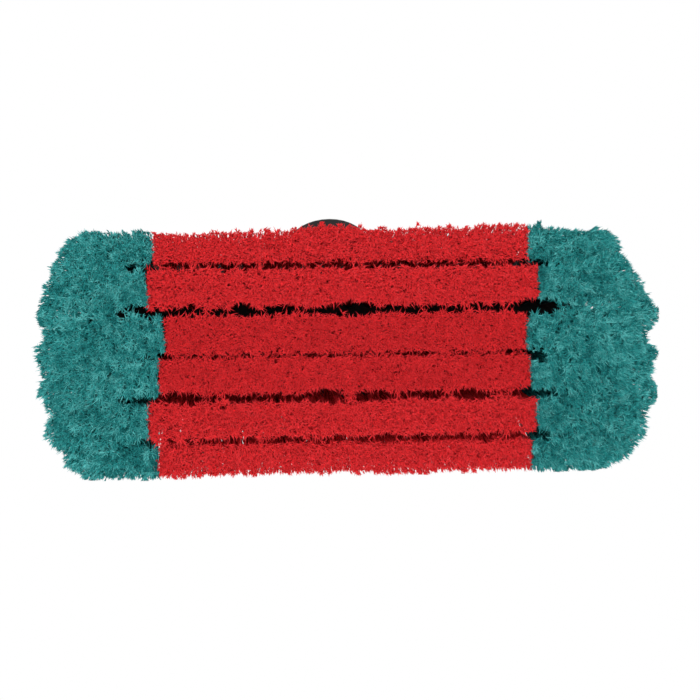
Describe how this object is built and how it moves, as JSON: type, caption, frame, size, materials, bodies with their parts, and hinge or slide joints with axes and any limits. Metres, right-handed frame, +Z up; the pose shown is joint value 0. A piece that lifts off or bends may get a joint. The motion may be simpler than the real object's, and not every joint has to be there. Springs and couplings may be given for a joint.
{
  "type": "flow-through wash brush",
  "caption": "Oblong flow-through wash brush with splayed red and teal bristle rows, a screwed water cover, an edge bumper and a slanted handle socket.",
  "frame": {"origin": "on the floor under the middle of the block, where the standing brush's bristle tips rest", "axes": "+X along the brush's long side, +Y the side that the handle socket leans towards, +Z up"},
  "size_m": [0.3023, 0.1232, 0.1392],
  "materials": {
    "block_plastic": "moulded black plastic, fine grain",
    "cover_plastic": "moulded black plastic, satin",
    "bumper_rubber": "soft black rubber",
    "gasket_rubber": "dark grey rubber",
    "washer_rubber": "black rubber",
    "stainless_steel": "stainless steel",
    "red_filament": "red flagged plastic filament",
    "teal_filament": "teal flagged plastic filament"
  },
  "bodies": {
    "root": {"brush_block": "block_plastic", "back_cover": "cover_plastic", "cover_gasket": "gasket_rubber", "edge_bumper": "bumper_rubber", "hose_washer": "washer_rubber", "cover_screw_01": "stainless_steel", "cover_screw_02": "stainless_steel", "cover_screw_03": "stainless_steel", "cover_screw_04": "stainless_steel", "cover_screw_05": "stainless_steel", "cover_screw_06": "stainless_steel", "cover_screw_07": "stainless_steel", "cover_screw_08": "stainless_steel", "cover_screw_09": "stainless_steel", "cover_screw_10": "stainless_steel", "bristles_row_1_red": "red_filament", "bristles_row_1_teal_plus": "teal_filament", "bristles_row_1_teal_minus": "teal_filament", "bristles_row_2_red": "red_filament", "bristles_row_2_teal_plus": "teal_filament", "bristles_row_2_teal_minus": "teal_filament", "bristles_row_3_red": "red_filament", "bristles_row_3_teal_plus": "teal_filament", "bristles_row_3_teal_minus": "teal_filament", "bristles_row_4_red": "red_filament", "bristles_row_4_teal_plus": "teal_filament", "bristles_row_4_teal_minus": "teal_filament", "bristles_row_5_red": "red_filament", "bristles_row_5_teal_plus": "teal_filament", "bristles_row_5_teal_minus": "teal_filament", "bristles_row_6_red": "red_filament", "bristles_row_6_teal_plus": "teal_filament", "bristles_row_6_teal_minus": "teal_filament"}
  },
  "joints": []
}
